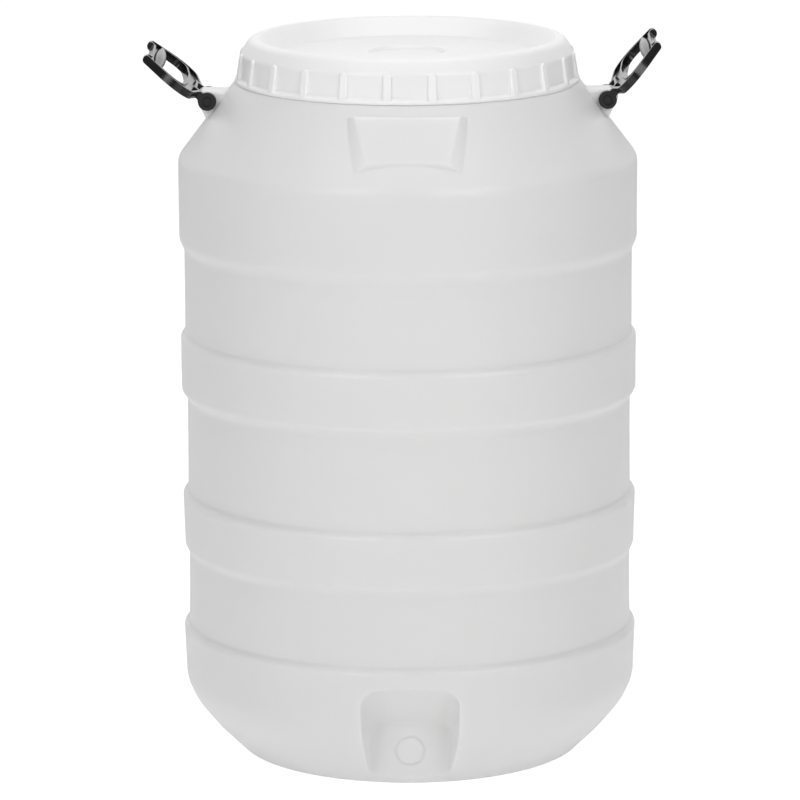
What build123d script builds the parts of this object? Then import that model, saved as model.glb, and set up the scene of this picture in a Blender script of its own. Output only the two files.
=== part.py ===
from build123d import *
import os
from math import atan2, cos, degrees, hypot, radians, sin, tan

# A 60 litre plastic fermenting drum: a blow-moulded body, a screw lid with a gasket, and two swing
# handles on pins.
# Millimetres, +Z up. The origin is the centre of the base ring on the floor, and the tap pad faces -Y.

# --- drum body: a body of revolution with four proud hoop bands ----------------------------------
WALL = 3.0
BAND_R = 200.0
WAIST_R = 194.8
TOP_WAIST_R = 196.1
STEP, LEAD_IN = 4.0, 7.0
FOOT_R = 148.5
FOOT_WIDTH = 10.5
PUSH_UP = 5.0
HEEL_R, HEEL_Z = 172.3, 23.3
TURN_R, TURN_Z = 190.3, 45.0
BAND_4_LOW = 62.5
BAND_4_TOP = 110.0
BAND_3_LOW, BAND_3_TOP = 184.0, 228.7
BAND_2_LOW, BAND_2_TOP = 323.0, 369.6
BAND_1_LOW = 456.5
SHOULDER_R, SHOULDER_Z = 200.6, 527.4
CONE_ANGLE = 37.2
LEDGE_R = 150.3
NECK_R = 136.5
RIM_Z = 623.2
MOUTH_R = NECK_R - WALL

# --- thread: right-handed, so the lid rises as it turns anticlockwise seen from above ------------
LEAD = 12.0
TURNS = 1.25
TOOTH_ROOT, TOOTH_TIP = 5.0, 2.5
TOOTH_SUNK = 1.0
THREAD_START = 20.0
NECK_THREAD_R, NECK_THREAD_Z = 141.3, 602.0
LID_THREAD_R = 138.5
LID_THREAD_DROP = 4.1

# --- raised panels on the shoulder, front and back -----------------------------------------------
PANEL_Z = 567.5
PANEL_LENGTH = 46.0
PANEL_TOP, PANEL_BOTTOM, PANEL_FOOT = 89.0, 69.0, 102.0
PANEL_FOOT_DOWN, PANEL_FOOT_UP = 9.0, 2.0
PANEL_PROUD, PANEL_DEPTH = 0.9, 8.0
PANEL_FILLET = 5.0

# --- recess for a tap, low at the front ----------------------------------------------------------
TAP_PAD_Y = -155.0
TAP_PAD_WIDTH, TAP_PAD_TOP = 69.0, 56.0
TAP_DEPTH = BAND_R + TAP_PAD_Y
TAP_FLARE = 9.0 / TAP_DEPTH
TAP_ROOF = 42.0 / TAP_DEPTH
TAP_CORNER, TAP_FILLET = 13.0, 9.0
TAP_MARK_Z, TAP_MARK_R, TAP_MARK_DEEP = 31.0, 13.0, 0.5

# --- lugs and pivot pins -------------------------------------------------------------------------
PIVOT_X, PIVOT_Z = 174.0, 578.1
LUG_WIDTH, LUG_RUN = 29.0, 40.0
LUG_ABOVE, LUG_BEYOND = 8.2, 8.2
LUG_SLANT = 26.0
LUG_NOSE_R, LUG_EDGE_R, LUG_FOOT_R = 6.5, 2.5, 2.0
PIN_R, PIN_PLAY = 3.3, 0.08
PIN_BEAD_R, PIN_BEAD_THICK = 3.9, 0.9
EAR_R, EAR_THICK = 8.0, 5.5
EAR_IN = LUG_WIDTH / 2 + 0.5
EAR_OUT = EAR_IN + EAR_THICK
SINK_R, SINK_DEPTH = 4.7, 1.8

# --- swing handles: u runs out from the pivot, v along the pivot ---------------------------------
HANDLE_ANGLES = {"left": 38.9, "right": 50.4}
BAR_HALF, WEB_HALF, FLANGE = 3.6, 1.2, 2.2
HUB_START, HUB_OUT = 14.0, 15.5
ARM_START, ARM_OUT = 9.5, 18.0
SHOULDER_AT, SHOULDER_OUT = 19.0, 66.0
BEND_AT, BEND_OUT = 44.0, 60.5
TIP_END, TIP_OUT, TIP_IN, END_SET_IN = 68.5, 45.5, 38.5, 5.0
SHOULDER_FILLET, BEND_FILLET = 18.0, 36.0
OPENING_START, OPENING_MIDDLE, OPENING_OUT, OPENING_FILLET = 25.0, 20.0, 57.5, 9.0
BAR_WIDE = 7.5
GRIP_AT, GRIP_HALF, GRIP_R_MID, GRIP_R_END = 54.0, 48.5, 6.0, 3.4
GROOVE_AT, GROOVE_WIDE, GROOVE_DEEP = -0.6, 0.7, 0.5

# --- lid -----------------------------------------------------------------------------------------
LID_Z = 593.9
LID_BEAD_R, LID_SIDE_R, LID_BORE_R = 150.2, 146.2, 142.4
CREST_Z, CREST_IN_R, CREST_OUT_R = 632.1, 128.5, 136.5
SIDE_TOP_R, SIDE_TOP_Z, BORE_TOP_Z = 144.6, 619.2, 617.8
LAND_Z, LAND_OUT_R = 626.2, 137.0
BEAD_TOP_Z, BEAD_STEP_Z = LID_Z + 2.6, LID_Z + 4.8
DISH_R, DISH_Z = 112.0, 616.4
DIMPLE_R, DIMPLE_Z, DIMPLE_DEEP = 34.0, 619.2, 2.8
LID_WALL = 3.0
RIBS, RIB_PHASE, RIB_WIDTH, RIB_EDGE_R = 24, 8.3, 7.5, 1.3
RIB_LOW_R, RIB_HIGH_R = 149.9, 146.0
RIB_LOW_Z, RIB_HIGH_Z = 595.4, 620.5

# --- gasket --------------------------------------------------------------------------------------
GASKET_IN_R, GASKET_OUT_R = 131.4, 135.6

os.makedirs("parts", exist_ok=True)


def cone_r(z):
    """Radius of the shoulder cone at a height."""
    return SHOULDER_R - (z - SHOULDER_Z) * tan(radians(CONE_ANGLE))


LEDGE_Z = SHOULDER_Z + (SHOULDER_R - LEDGE_R) / tan(radians(CONE_ANGLE))

# Corners of the drum's half section, from the middle of the base to the rim: radius, height and rounding.
DRUM_OUTLINE = [
    (0, PUSH_UP, 0),
    (FOOT_R - FOOT_WIDTH - 6, PUSH_UP, 8),
    (FOOT_R - FOOT_WIDTH, 0, 2),
    (FOOT_R, 0, 8),
    (HEEL_R, HEEL_Z, 100),
    (TURN_R, TURN_Z, 60),
    (BAND_R - 1.8, BAND_4_LOW, 36),
    (BAND_R, BAND_4_TOP, 4.5),
    (WAIST_R + 0.6, BAND_4_TOP + STEP, 3),
    (WAIST_R, BAND_3_LOW - LEAD_IN, 9),
    (BAND_R - 1.6, BAND_3_LOW, 6),
    (BAND_R - 0.3, BAND_3_TOP, 4.5),
    (WAIST_R + 0.4, BAND_3_TOP + STEP, 3),
    (WAIST_R, BAND_2_LOW - LEAD_IN, 9),
    (BAND_R - 0.2, BAND_2_LOW, 6),
    (BAND_R, BAND_2_TOP, 4.5),
    (TOP_WAIST_R, BAND_2_TOP + STEP, 3),
    (TOP_WAIST_R, BAND_1_LOW - LEAD_IN - 2, 12),
    (BAND_R + 0.4, BAND_1_LOW, 12),
    (SHOULDER_R, SHOULDER_Z, 17),
    (LEDGE_R, LEDGE_Z, 0.8),
    (NECK_R, LEDGE_Z, 1.5),
    (NECK_R, RIM_Z, 0),
]


def drum_section():
    """The drum's half section, filled to its axis."""
    corners = [(r, z) for r, z, rounding in DRUM_OUTLINE]
    with BuildSketch(Plane.XZ) as section:
        with BuildLine():
            FilletPolyline(*corners, radius=[rounding for r, z, rounding in DRUM_OUTLINE[1:-1]])
            Polyline(corners[-1], (0, RIM_Z), corners[0])
        make_face()
    return section.sketch


def panel_planes():
    """Planes tangent to the shoulder cone at the front and the back, their Y running up the cone."""
    slope = radians(CONE_ANGLE)
    for side in (-1, 1):
        yield Plane(
            origin=(0, side * cone_r(PANEL_Z), PANEL_Z),
            x_dir=(-side, 0, 0),
            z_dir=(0, side * cos(slope), sin(slope)),
        )


def shoulder_panel(plane, inset):
    """A raised panel with a flat, tapering face over a wider foot, drawn in by an inset."""
    half = PANEL_LENGTH / 2 - inset
    bottom, top = PANEL_BOTTOM / 2 - inset, PANEL_TOP / 2 - inset
    foot = PANEL_FOOT / 2 - inset
    low, high = -half - PANEL_FOOT_DOWN, half + PANEL_FOOT_UP
    with BuildSketch(plane.offset(PANEL_PROUD - inset)) as face:
        with BuildLine():
            Polyline((-bottom, -half), (bottom, -half), (top, half), (-top, half), close=True)
        make_face()
    with BuildSketch(plane.offset(PANEL_PROUD - PANEL_DEPTH - inset)) as base:
        with BuildLine():
            Polyline((-foot, low), (foot, low), (foot, high), (-foot, high), close=True)
        make_face()
    with BuildPart() as panel:
        loft([face.sketch, base.sketch])
        fillet(panel.faces().sort_by(Axis(plane.origin, plane.z_dir))[-1].edges(), PANEL_FILLET)
    return panel.part


def tap_wedge(inset):
    """The wedge that the tap recess takes out of the drum, grown by an inset."""
    half, top = TAP_PAD_WIDTH / 2 + inset, TAP_PAD_TOP + inset
    reach = TAP_DEPTH + 6
    corner = TAP_CORNER + inset
    ends = []
    for y, wider, higher in (
        (TAP_PAD_Y + inset, 0, 0),
        (TAP_PAD_Y - reach, TAP_FLARE * reach, TAP_ROOF * reach),
    ):
        with BuildSketch(Plane.XZ.offset(-y)) as end:
            with BuildLine():
                FilletPolyline(
                    (-half - wider, -30),
                    (half + wider, -30),
                    (half + wider, top + higher),
                    (-half - wider, top + higher),
                    radius=[0, 0, corner, corner],
                    close=True,
                )
            make_face()
        ends.append(end.sketch)
    with BuildPart() as wedge:
        loft(ends)
        fillet(wedge.faces().sort_by(Axis.Y)[-1].edges(), TAP_FILLET + inset)
    return wedge.part


def thread(wall_r, tip_r, low_z):
    """One helical tooth on a wall, its root sunk into the wall."""
    height = tip_r - wall_r
    sunk = -TOOTH_SUNK if height > 0 else TOOTH_SUNK
    root = TOOTH_ROOT / 2 + (TOOTH_ROOT - TOOTH_TIP) / 2 * TOOTH_SUNK / abs(height)
    tip = TOOTH_TIP / 2
    turn = radians(THREAD_START)
    with BuildLine(Plane.XY.offset(low_z).rotated((0, 0, THREAD_START))) as path:
        Helix(pitch=LEAD, height=LEAD * TURNS, radius=wall_r)
    radial = Plane(origin=path.line @ 0, x_dir=(cos(turn), sin(turn), 0), z_dir=(sin(turn), -cos(turn), 0))
    with BuildSketch(radial) as tooth:
        with BuildLine():
            Polyline((sunk, -root), (height, -tip), (height, tip), (sunk, root), close=True)
        make_face()
    with BuildPart() as helix:
        sweep(tooth.sketch, path=path.line, is_frenet=True)
    return helix.part


def lug_profile(side):
    """Side outline of a lug: a flat top, a rounded nose and a flank leaning back into the shoulder."""
    lean = radians(LUG_SLANT)
    top = PIVOT_Z + LUG_ABOVE
    nose = PIVOT_X + (LUG_BEYOND + LUG_ABOVE * sin(lean)) / cos(lean)
    with BuildSketch(Plane.XZ) as profile:
        with BuildLine():
            FilletPolyline(
                (side * LEDGE_R, top),
                (side * nose, top),
                (side * (nose - LUG_RUN * sin(lean)), top - LUG_RUN * cos(lean)),
                radius=[0, LUG_NOSE_R, 0],
                close=True,
            )
        make_face()
    return profile.sketch


def on_cone(edge):
    """Whether an edge lies on the shoulder cone."""
    points = [edge @ t for t in (0, 0.5, 1)]
    return all(abs(cone_r(point.Z) - hypot(point.X, point.Y)) < 0.15 for point in points)


def lug_edges(body):
    """Edges around the two lugs: their sides' outlines and the lines where they meet the cone."""
    nearby = body.edges().filter_by_position(Axis.Z, SHOULDER_Z + 15, LEDGE_Z - 1)
    beside = nearby.filter_by_position(Axis.Y, -LUG_WIDTH / 2 - 1, LUG_WIDTH / 2 + 1)
    return [edge for edge in beside if abs(edge.center().X) > LEDGE_R + 1 and abs(edge.center().Y) > 1]


def handle_deck(side, angle):
    """A handle's middle plane at the pivot: X runs out along the handle, Z points to its upper side."""
    lift = radians(angle)
    return Plane(
        origin=(side * PIVOT_X, 0, PIVOT_Z),
        x_dir=(side * cos(lift), 0, sin(lift)),
        z_dir=(-side * sin(lift), 0, cos(lift)),
    )


# --- drum body -----------------------------------------------------------------------------------
with BuildPart() as cavity:
    with BuildSketch(Plane.XZ):
        add(drum_section())
        offset(amount=-WALL)
        with Locations((MOUTH_R / 2, RIM_Z)):
            Rectangle(MOUTH_R, 4 * WALL)
        with Locations((WALL, (PUSH_UP + WALL + RIM_Z) / 2)):
            Rectangle(2 * WALL, RIM_Z - PUSH_UP - WALL)
    revolve(axis=Axis.Z)
    for plane in panel_planes():
        add(shoulder_panel(plane, WALL))
    add(tap_wedge(WALL), mode=Mode.SUBTRACT)

with BuildPart() as drum_body:
    with BuildSketch(Plane.XZ):
        add(drum_section())
    revolve(axis=Axis.Z)
    for plane in panel_planes():
        add(shoulder_panel(plane, 0))
    for side in (-1, 1):
        extrude(lug_profile(side), amount=LUG_WIDTH / 2, both=True)
    lug_sides = [edge for edge in lug_edges(drum_body.part) if not on_cone(edge)]
    fillet(lug_sides, LUG_EDGE_R)
    lug_feet = [edge for edge in lug_edges(drum_body.part) if on_cone(edge)]
    fillet(lug_feet, LUG_FOOT_R)
    add(cavity.part, mode=Mode.SUBTRACT)
    add(tap_wedge(0), mode=Mode.SUBTRACT)
    with BuildSketch(Plane.XZ.offset(-TAP_PAD_Y)):
        with Locations((0, TAP_MARK_Z)):
            Circle(TAP_MARK_R)
            Circle(TAP_MARK_R - 1.2, mode=Mode.SUBTRACT)
    extrude(amount=-TAP_MARK_DEEP, mode=Mode.SUBTRACT)
    with BuildSketch(Plane.XZ):
        with Locations((-PIVOT_X, PIVOT_Z), (PIVOT_X, PIVOT_Z)):
            Circle(PIN_R)
    extrude(amount=LUG_WIDTH, both=True, mode=Mode.SUBTRACT)
    add(thread(NECK_R, NECK_THREAD_R, NECK_THREAD_Z))
drum_body.part.label = "drum_body"
export_step(drum_body.part, "parts/drum_body.step")

# --- screw lid -----------------------------------------------------------------------------------
with BuildPart() as grip_rib:
    lean = atan2(RIB_LOW_R - RIB_HIGH_R, RIB_HIGH_Z - RIB_LOW_Z)
    rib_middle = ((RIB_LOW_R + RIB_HIGH_R) / 2, 0, (RIB_LOW_Z + RIB_HIGH_Z) / 2)
    with BuildSketch(Plane(origin=rib_middle, x_dir=(0, 1, 0), z_dir=(cos(lean), 0, sin(lean)))):
        arch = Rectangle(RIB_WIDTH, RIB_HIGH_Z - RIB_LOW_Z)
        fillet(arch.vertices().group_by(Axis.Z)[-1], RIB_WIDTH / 2 - 0.05)
    extrude(amount=-4)
    fillet(grip_rib.faces().sort_by(Axis.X)[-1].edges(), RIB_EDGE_R)

with BuildPart() as screw_lid:
    with BuildSketch(Plane.XZ):
        with BuildLine():
            FilletPolyline(
                (0, DIMPLE_Z - DIMPLE_DEEP - 0.4),
                (DIMPLE_R - 3, DIMPLE_Z - DIMPLE_DEEP),
                (DIMPLE_R, DIMPLE_Z),
                (DISH_R, DISH_Z),
                (CREST_IN_R, CREST_Z - 0.4),
                (CREST_OUT_R, CREST_Z),
                (SIDE_TOP_R, SIDE_TOP_Z),
                (LID_SIDE_R, BEAD_STEP_Z),
                (LID_BEAD_R, BEAD_TOP_Z),
                (LID_BEAD_R, LID_Z),
                (LID_BORE_R, LID_Z),
                (LID_BORE_R, BORE_TOP_Z),
                (LAND_OUT_R, LAND_Z),
                (CREST_IN_R - 0.1, LAND_Z),
                (DISH_R + 1.1, DISH_Z - LID_WALL),
                (DIMPLE_R - 1.5, DIMPLE_Z - LID_WALL),
                (DIMPLE_R - 4.5, DIMPLE_Z - DIMPLE_DEEP - LID_WALL),
                (0, DIMPLE_Z - DIMPLE_DEEP - LID_WALL),
                radius=[1.5, 1.5, 2, 3, 8, 8, 1, 1, 0.4, 0.6, 2, 0, 0.5, 2, 1, 1],
            )
            Line((0, DIMPLE_Z - DIMPLE_DEEP - LID_WALL), (0, DIMPLE_Z - DIMPLE_DEEP - 0.4))
        make_face()
    revolve(axis=Axis.Z)
    with PolarLocations(0, RIBS, start_angle=RIB_PHASE):
        add(grip_rib.part)
    add(thread(LID_BORE_R, LID_THREAD_R, NECK_THREAD_Z - LID_THREAD_DROP))
screw_lid.part.label = "screw_lid"
export_step(screw_lid.part, "parts/screw_lid.step")

# --- gasket between the neck's rim and the lid ---------------------------------------------------
with BuildPart() as lid_gasket:
    with BuildSketch(Plane.XY.offset(RIM_Z)):
        Circle(GASKET_OUT_R)
        Circle(GASKET_IN_R, mode=Mode.SUBTRACT)
    extrude(amount=LAND_Z - RIM_Z)
lid_gasket.part.label = "lid_gasket"
export_step(lid_gasket.part, "parts/lid_gasket.step")

# --- handles and the pins that they turn on ------------------------------------------------------
for name, side in (("left", -1), ("right", 1)):
    deck = handle_deck(side, HANDLE_ANGLES[name])
    across = Plane(origin=deck.origin, x_dir=deck.x_dir, z_dir=deck.y_dir)
    grip_axis = Axis(deck.from_local_coords((GRIP_AT, 0, 0)), deck.y_dir)

    half_outline = [
        (HUB_START, HUB_OUT, 1),
        (ARM_START, ARM_OUT, 1),
        (SHOULDER_AT, SHOULDER_OUT, SHOULDER_FILLET),
        (BEND_AT, BEND_OUT, BEND_FILLET),
        (TIP_END, TIP_OUT, 2),
        (TIP_END, TIP_IN, 2),
        (TIP_END - END_SET_IN + 0.5, TIP_IN - 6, 4),
    ]
    with BuildSketch() as outline:
        with BuildLine():
            FilletPolyline(
                *[(u, v) for u, v, rounding in half_outline],
                (TIP_END - END_SET_IN, 0),
                *[(u, -v) for u, v, rounding in reversed(half_outline)],
                radius=[
                    *[rounding for u, v, rounding in half_outline],
                    40,
                    *[rounding for u, v, rounding in reversed(half_outline)],
                ],
                close=True,
            )
        make_face()
    half_opening = [
        (OPENING_START, OPENING_MIDDLE, 20),
        (OPENING_START + 5, OPENING_OUT, OPENING_FILLET),
        (BEND_AT, BEND_OUT - BAR_WIDE, 40),
        (GRIP_AT, BEND_OUT - BAR_WIDE - 5, 1),
    ]
    with BuildSketch() as opening:
        with BuildLine():
            FilletPolyline(
                *[(u, v) for u, v, rounding in half_opening],
                *[(u, -v) for u, v, rounding in reversed(half_opening)],
                radius=[rounding for u, v, rounding in [*half_opening, *reversed(half_opening)]],
                close=True,
            )
        make_face()

    with BuildPart() as handle:
        with BuildSketch(deck):
            add(outline.sketch)
            add(opening.sketch, mode=Mode.SUBTRACT)
        extrude(amount=WEB_HALF, both=True)
        with BuildSketch(deck):
            add(outline.sketch)
            offset(outline.sketch, amount=-FLANGE, mode=Mode.SUBTRACT)
        extrude(amount=BAR_HALF, both=True)
        with BuildSketch(deck):
            offset(opening.sketch, amount=FLANGE)
            add(opening.sketch, mode=Mode.SUBTRACT)
        extrude(amount=BAR_HALF, both=True)
        with BuildSketch(deck.offset(GROOVE_AT)):
            add(outline.sketch)
            offset(outline.sketch, amount=-GROOVE_DEEP, mode=Mode.SUBTRACT)
        extrude(amount=GROOVE_WIDE / 2, both=True, mode=Mode.SUBTRACT)
        with BuildSketch(deck):
            with BuildLine():
                ThreePointArc(
                    (GRIP_AT + GRIP_R_END, -GRIP_HALF),
                    (GRIP_AT + GRIP_R_MID, 0),
                    (GRIP_AT + GRIP_R_END, GRIP_HALF),
                )
                Polyline(
                    (GRIP_AT + GRIP_R_END, GRIP_HALF),
                    (GRIP_AT, GRIP_HALF),
                    (GRIP_AT, -GRIP_HALF),
                    (GRIP_AT + GRIP_R_END, -GRIP_HALF),
                )
            make_face()
        revolve(axis=grip_axis)
        for start in (EAR_IN, -EAR_OUT):
            with BuildSketch(across.offset(start)):
                Circle(EAR_R)
                with Locations((HUB_START / 2 + 1.5, 0)):
                    Rectangle(HUB_START + 3, 2 * BAR_HALF)
            extrude(amount=EAR_THICK)
        with BuildSketch(across):
            with Locations((TIP_END, 0)):
                Rectangle(2 * BAR_HALF, 4 * BAR_HALF)
            with Locations((TIP_END - BAR_HALF, 0)):
                Circle(BAR_HALF, mode=Mode.SUBTRACT)
        extrude(amount=SHOULDER_OUT, both=True, mode=Mode.SUBTRACT)
        with BuildSketch(across):
            Circle(PIN_R + PIN_PLAY)
        extrude(amount=EAR_OUT, both=True, mode=Mode.SUBTRACT)
        for start in (EAR_OUT - SINK_DEPTH, -EAR_OUT):
            with BuildSketch(across.offset(start)):
                Circle(SINK_R)
            extrude(amount=SINK_DEPTH, mode=Mode.SUBTRACT)
    handle.part.label = "handle_" + name
    export_step(handle.part, f"parts/handle_{name}.step")

    with BuildPart() as pin:
        bead_at = EAR_OUT - SINK_DEPTH + 0.1
        with BuildSketch(across):
            Circle(PIN_R)
        extrude(amount=EAR_OUT - 0.4, both=True)
        for start in (bead_at, -bead_at - PIN_BEAD_THICK):
            with BuildSketch(across.offset(start)):
                Circle(PIN_BEAD_R)
            extrude(amount=PIN_BEAD_THICK)
        ends = pin.faces().sort_by(Axis.Y)
        chamfer(ends[0].edges() + ends[-1].edges(), 0.25)
    pin.part.label = "pivot_pin_" + name
    export_step(pin.part, f"parts/pivot_pin_{name}.step")
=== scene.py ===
from math import radians

import bpy
from mathutils import Matrix, Vector

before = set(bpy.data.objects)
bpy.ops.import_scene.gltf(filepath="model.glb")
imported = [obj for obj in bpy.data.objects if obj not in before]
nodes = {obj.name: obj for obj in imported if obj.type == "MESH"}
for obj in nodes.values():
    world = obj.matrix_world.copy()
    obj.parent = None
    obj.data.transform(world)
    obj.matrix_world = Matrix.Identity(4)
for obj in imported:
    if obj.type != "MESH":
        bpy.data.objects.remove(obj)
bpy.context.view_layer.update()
scene = bpy.context.scene

# Softboxes: place, the point they face, width, height and watts.
FRONT_X, FRONT_Y, FRONT_Z = 1.5, -2.6, 2.0
FRONT_FACES, FRONT_SIZE = (0, 0, 0.45), (1.3, 1.9)
OVERHEAD_AT, OVERHEAD_FACES, OVERHEAD_SIZE = (0, -0.1, 2.9), (0, 0, 0.3), (2.6, 2.2)
FRONT_WATTS, OVERHEAD_WATTS = 26.5, 28.0

# Strengths of the floor's glow, to the camera and to everything else, and of the world, behind and in front.
FLOOR_SEEN, FLOOR_GLOW = 0.72, 0.28
BACKDROP, ROOM = 1.05, 0.22
FLOOR_SIZE, FLOOR_DROP = 30, 0.0003

CAMERA_AT = (0.0, -4.735, 1.2982)
CAMERA_PITCH, CAMERA_YAW, CAMERA_ROLL = 11.805, 0.0940, -0.286
CAMERA_LENS, CAMERA_SENSOR = 246.87, 36.0

PLASTIC_IOR = 1.5
# How far the shading of moulded edges is rounded off.
DRUM_EDGE, LID_EDGE = 0.003, 0.001

# ---------------------------------------------------------------- node helpers


class Shader:
    """Builds one material's node tree around a Principled shader."""

    def __init__(self, name):
        self.material = bpy.data.materials.new(name)
        self.material.use_nodes = True
        self.tree = self.material.node_tree
        self.bsdf = self.tree.nodes["Principled BSDF"]
        self.position = self.node("ShaderNodeTexCoord").outputs["Object"]

    def node(self, kind, inputs=None, **settings):
        made = self.tree.nodes.new(kind)
        for key, value in settings.items():
            setattr(made, key, value)
        for key, value in (inputs or {}).items():
            self.feed(made.inputs[key], value)
        return made

    def feed(self, socket, value):
        if isinstance(value, bpy.types.NodeSocket):
            self.tree.links.new(value, socket)
        else:
            socket.default_value = value

    def set(self, **values):
        for key, value in values.items():
            self.feed(self.bsdf.inputs[key.replace("_", " ")], value)

    def stretched(self, scale):
        return self.node("ShaderNodeMapping", {"Vector": self.position, "Scale": scale}).outputs["Vector"]

    def noise(self, scale, detail=2.0, rough=0.5, vector=None, distortion=0.0):
        made = self.node(
            "ShaderNodeTexNoise",
            {
                "Vector": vector or self.position,
                "Scale": scale,
                "Detail": detail,
                "Roughness": rough,
                "Distortion": distortion,
            },
        )
        return made.outputs["Fac"]

    def span(self, value, low, high, from_low=0.0, from_high=1.0):
        made = self.node(
            "ShaderNodeMapRange",
            {"Value": value, "From Min": from_low, "From Max": from_high, "To Min": low, "To Max": high},
        )
        return made.outputs["Result"]

    def plus(self, a, b):
        return self.node("ShaderNodeMath", {0: a, 1: b}, operation="ADD").outputs[0]

    def mix(self, factor, a, b):
        factor_socket, a_socket, b_socket = 0, 6, 7
        colour_result = 2
        inputs = {factor_socket: factor, a_socket: a, b_socket: b}
        return self.node("ShaderNodeMix", inputs, data_type="RGBA").outputs[colour_result]

    def softened(self, radius):
        """Normals rounded off over a radius, as on a moulding with no sharp edges."""
        return self.node("ShaderNodeBevel", {"Radius": radius}, samples=6).outputs["Normal"]

    def bump(self, height, strength, distance, normal=None):
        inputs = {"Height": height, "Strength": strength, "Distance": distance}
        if normal is not None:
            inputs["Normal"] = normal
        return self.node("ShaderNodeBump", inputs).outputs["Normal"]


def grey(value, tint=(1.0, 1.0, 1.0)):
    return (value * tint[0], value * tint[1], value * tint[2], 1.0)


def dress(node, material):
    mesh = nodes[node].data
    mesh.materials.clear()
    mesh.materials.append(material)


# ------------------------------------------------------------------- materials


def drum_plastic():
    """Natural blow-moulded polyethylene: milky, cloudy and lightly scuffed round the body."""
    s = Shader("natural_hdpe")
    cloud = s.noise(5.0, 3.0, 0.5, s.stretched((1.0, 1.0, 0.45)))
    flow = s.noise(26.0, 4.0, 0.6, s.stretched((1.0, 1.0, 0.12)), 0.4)
    colour = s.mix(s.span(cloud, 0.0, 1.0, 0.3, 0.7), grey(0.845), grey(0.865, (1.0, 1.0, 0.995)))
    scuff = s.noise(190.0, 3.0, 0.65, s.stretched((1.0, 1.0, 0.2)))
    rough = s.plus(s.span(flow, 0.30, 0.40, 0.3, 0.7), s.span(scuff, 0.0, 0.10, 0.55, 0.75))
    grain = s.bump(s.noise(600.0, 2.0, 0.5), 0.10, 0.0002, s.softened(DRUM_EDGE))
    wave = s.bump(s.noise(14.0, 2.0, 0.5), 0.25, 0.0015, grain)
    s.set(Base_Color=colour, Roughness=rough, Normal=wave, IOR=PLASTIC_IOR)
    s.set(Subsurface_Weight=0.5, Subsurface_Scale=0.010, Subsurface_Radius=(1.0, 1.0, 1.0))
    return s.material


def lid_plastic():
    """Opaque white injection-moulded plastic, a little smoother than the drum."""
    s = Shader("white_lid_plastic")
    cloud = s.noise(9.0, 3.0, 0.5)
    colour = s.mix(s.span(cloud, 0.0, 1.0, 0.3, 0.7), grey(0.92), grey(0.94, (1.0, 1.0, 0.998)))
    rough = s.span(s.noise(60.0, 4.0, 0.6), 0.28, 0.38, 0.3, 0.7)
    wave = s.bump(s.noise(30.0, 2.0, 0.5), 0.10, 0.0006, s.softened(LID_EDGE))
    s.set(Base_Color=colour, Roughness=rough, Normal=wave, IOR=PLASTIC_IOR)
    s.set(Subsurface_Weight=0.3, Subsurface_Scale=0.006, Subsurface_Radius=(1.0, 1.0, 1.0))
    return s.material


def gasket_rubber():
    """Pale matte rubber with a fine grain."""
    s = Shader("gasket_rubber")
    colour = s.mix(s.noise(40.0, 3.0, 0.6), grey(0.62), grey(0.70, (1.0, 1.0, 0.97)))
    grain = s.bump(s.noise(700.0, 3.0, 0.6), 0.3, 0.0003)
    s.set(Base_Color=colour, Roughness=s.span(s.noise(120.0, 3.0), 0.55, 0.75), Normal=grain)
    return s.material


def black_plastic(name, low_rough, high_rough):
    """Glossy black plastic with faint wear."""
    s = Shader(name)
    cloud = s.noise(70.0, 3.0, 0.6)
    colour = s.mix(cloud, grey(0.003), grey(0.008, (1.0, 1.0, 1.05)))
    scratch = s.noise(420.0, 3.0, 0.7, s.stretched((1.0, 0.15, 1.0)))
    gloss = s.span(cloud, low_rough, high_rough, 0.3, 0.7)
    rough = s.plus(gloss, s.span(scratch, 0.0, 0.08, 0.55, 0.8))
    grain = s.bump(s.noise(260.0, 3.0, 0.55), 0.08, 0.0003)
    s.set(Base_Color=colour, Roughness=rough, Normal=grain, IOR=PLASTIC_IOR)
    return s.material


dress("drum_body", drum_plastic())
dress("screw_lid", lid_plastic())
dress("lid_gasket", gasket_rubber())
handle_black = black_plastic("black_handle_plastic", 0.13, 0.21)
pin_black = black_plastic("black_pin_plastic", 0.18, 0.26)
for side in ("left", "right"):
    dress("handle_" + side, handle_black)
    dress("pivot_pin_" + side, pin_black)

# ------------------------------------------------------------ floor and lights


def floor_material():
    """Pale floor that the camera sees as white and that lights the object a little less."""
    s = Shader("pale_floor")
    to_camera = s.node("ShaderNodeLightPath").outputs["Is Camera Ray"]
    s.set(Base_Color=s.mix(s.noise(3.0), grey(0.80), grey(0.81)), Roughness=0.8, Specular_IOR_Level=0.0)
    s.set(Emission_Color=grey(1.0), Emission_Strength=s.span(to_camera, FLOOR_GLOW, FLOOR_SEEN))
    return s.material


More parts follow.
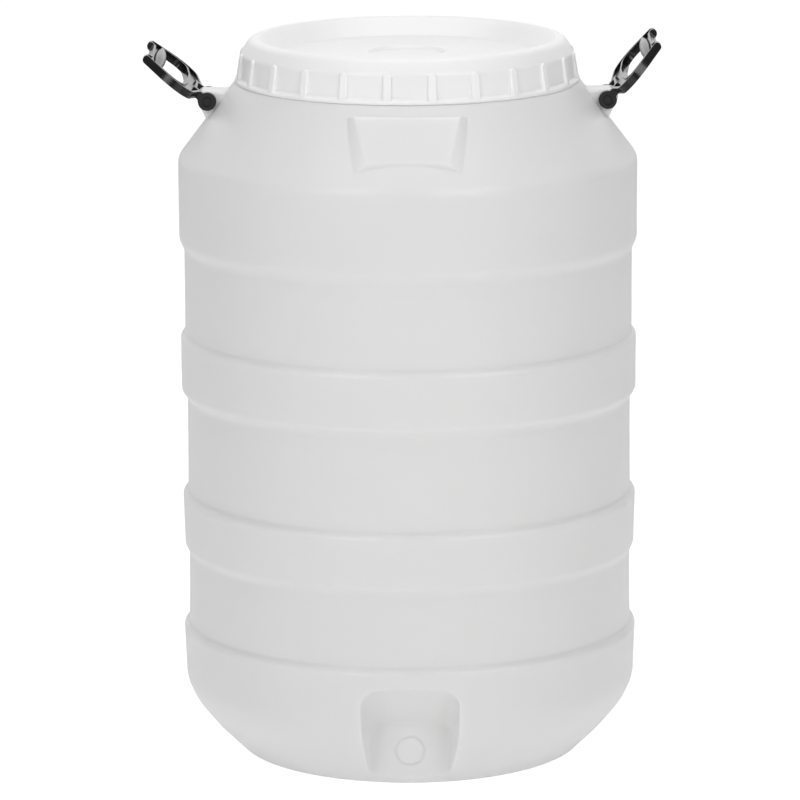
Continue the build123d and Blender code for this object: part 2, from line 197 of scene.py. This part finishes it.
bpy.ops.mesh.primitive_plane_add(size=FLOOR_SIZE, location=(0, 0, -FLOOR_DROP))
floor = bpy.context.object
floor.name = "floor"
floor.data.materials.append(floor_material())


def studio_world():
    """A white backdrop behind the object and a dimmer room in front of it."""
    world = bpy.data.worlds.new("studio")
    world.use_nodes = True
    tree = world.node_tree
    direction = tree.nodes.new("ShaderNodeTexCoord").outputs["Generated"]
    parts = tree.nodes.new("ShaderNodeSeparateXYZ")
    tree.links.new(direction, parts.inputs["Vector"])
    wall = tree.nodes.new("ShaderNodeMapRange")
    wall.interpolation_type = "SMOOTHSTEP"
    for key, value in {"From Min": 0.35, "From Max": 0.85, "To Min": ROOM, "To Max": BACKDROP}.items():
        wall.inputs[key].default_value = value
    tree.links.new(parts.outputs["Y"], wall.inputs["Value"])
    tree.links.new(wall.outputs["Result"], tree.nodes["Background"].inputs["Strength"])
    tree.nodes["Background"].inputs["Color"].default_value = grey(1.0)
    return world


scene.world = studio_world()


def softbox(name, place, faces, size, watts):
    data = bpy.data.lights.new(name, "AREA")
    data.shape = "RECTANGLE"
    data.size, data.size_y = size
    data.energy = watts
    light = bpy.data.objects.new(name, data)
    light.location = place
    light.rotation_euler = (Vector(faces) - Vector(place)).to_track_quat("-Z", "Y").to_euler()
    scene.collection.objects.link(light)


for name, side in (("front_left", -1), ("front_right", 1)):
    softbox(name, (side * FRONT_X, FRONT_Y, FRONT_Z), FRONT_FACES, FRONT_SIZE, FRONT_WATTS)
softbox("overhead", OVERHEAD_AT, OVERHEAD_FACES, OVERHEAD_SIZE, OVERHEAD_WATTS)

# ---------------------------------------------------------------------- camera

camera_data = bpy.data.cameras.new("camera")
camera_data.lens = CAMERA_LENS
camera_data.sensor_width = CAMERA_SENSOR
camera = bpy.data.objects.new("camera", camera_data)
camera.matrix_world = (
    Matrix.Translation(CAMERA_AT)
    @ Matrix.Rotation(radians(CAMERA_YAW), 4, "Z")
    @ Matrix.Rotation(radians(90 - CAMERA_PITCH), 4, "X")
    @ Matrix.Rotation(radians(CAMERA_ROLL), 4, "Z")
)
scene.collection.objects.link(camera)
scene.camera = camera
scene.view_settings.view_transform = "Standard"
